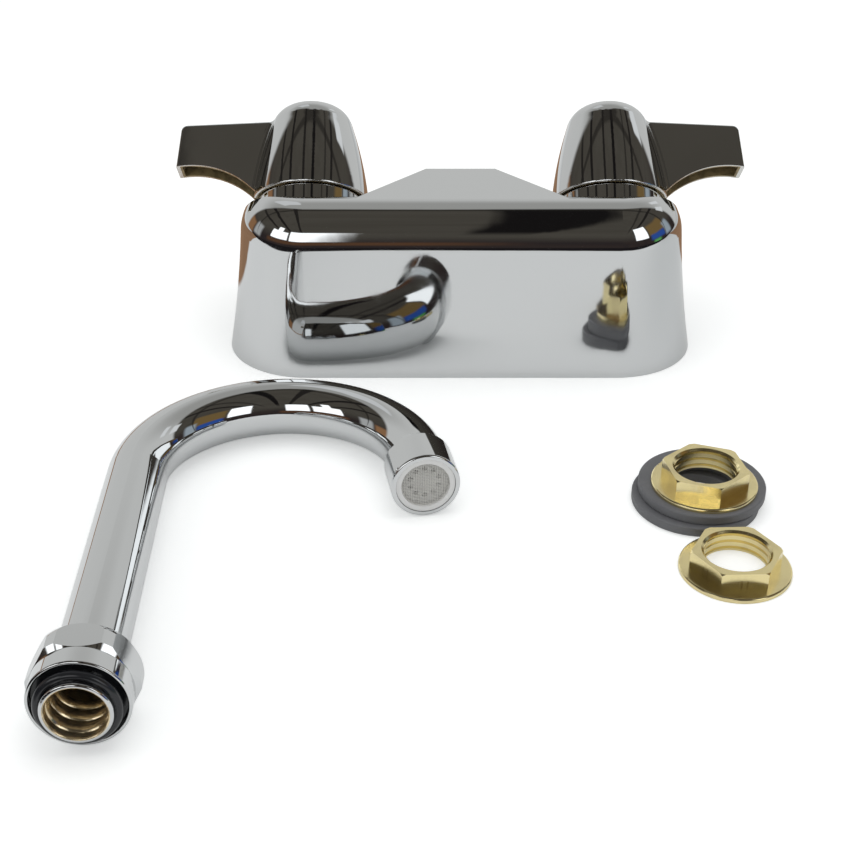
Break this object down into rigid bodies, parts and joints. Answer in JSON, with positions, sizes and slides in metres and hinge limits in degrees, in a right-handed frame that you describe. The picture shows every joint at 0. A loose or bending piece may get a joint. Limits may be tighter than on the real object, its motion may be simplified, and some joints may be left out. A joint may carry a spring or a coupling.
{
  "type": "faucet",
  "caption": "Two-handle wall faucet as a kit: valve body with lever handles, a detached gooseneck spout with coupling nut and aerator, and loose flanged locknuts and washers.",
  "frame": {"origin": "centre of the kit's footprint, on the table it lies on; the valve body lies on its wall side", "axes": "+Z away from the table, which for the valve body is away from the wall towards the user; +Y from the loose parts to the valve body, which is up when the body is on a wall; +X to the right as a user stands in front of the mounted faucet"},
  "size_m": [0.2174, 0.2732, 0.0811],
  "materials": {
    "chrome": "polished chrome plate",
    "brass": "as cast and machined",
    "cartridge_brass": "machined",
    "locknut_brass": "turned, bright",
    "rubber": "matt black",
    "black_plastic": "moulded, black",
    "white_plastic": "moulded, white",
    "grey_plastic": "moulded, grey",
    "steel_mesh": "fine woven wire",
    "steel": "stainless",
    "ceramic": "lapped ceramic"
  },
  "bodies": {
    "faucet_kit": {"body_shell": "chrome", "waterway": "brass", "seat_seal_left": "rubber", "fixed_disc_left": "ceramic", "cartridge_left": "cartridge_brass", "stem_ring_left": "rubber", "bonnet_nut_left": "chrome", "seat_seal_right": "rubber", "fixed_disc_right": "ceramic", "cartridge_right": "cartridge_brass", "stem_ring_right": "rubber", "bonnet_nut_right": "chrome", "spout_tube": "chrome", "spout_thrust_ring": "black_plastic", "spout_o_ring": "rubber", "aerator_cap": "chrome", "aerator_housing": "white_plastic", "aerator_screen": "steel_mesh", "aerator_diffuser": "grey_plastic", "aerator_washer": "rubber", "locknuts": "locknut_brass", "shank_washers": "rubber"},
    "valve_handle_left": {"handle_left": "chrome", "stem_left": "cartridge_brass", "moving_disc_left": "ceramic", "stem_clip_left": "steel", "handle_screw_left": "steel", "index_button_left": "chrome"},
    "valve_handle_right": {"handle_right": "chrome", "stem_right": "cartridge_brass", "moving_disc_right": "ceramic", "stem_clip_right": "steel", "handle_screw_right": "steel", "index_button_right": "chrome"},
    "coupling_nut": {"spout_nut": "chrome"}
  },
  "joints": [
    {"name": "left_valve_turn", "type": "hinge", "parent": "faucet_kit", "child": "valve_handle_left", "pos_m": [-0.05085, 0.09862, 0.04303], "axis": [0, 0.7071, 0.7071], "range_deg": [0, 90]},
    {"name": "right_valve_turn", "type": "hinge", "parent": "faucet_kit", "child": "valve_handle_right", "pos_m": [0.05915, 0.09862, 0.04303], "axis": [0, -0.7071, -0.7071], "range_deg": [0, 90]},
    {"name": "coupling_nut_turn", "type": "hinge", "parent": "faucet_kit", "child": "coupling_nut", "pos_m": [-0.09385, -0.13245, 0.01364], "axis": [-0.0332, 0.9991, -0.0256], "continuous": true}
  ]
}
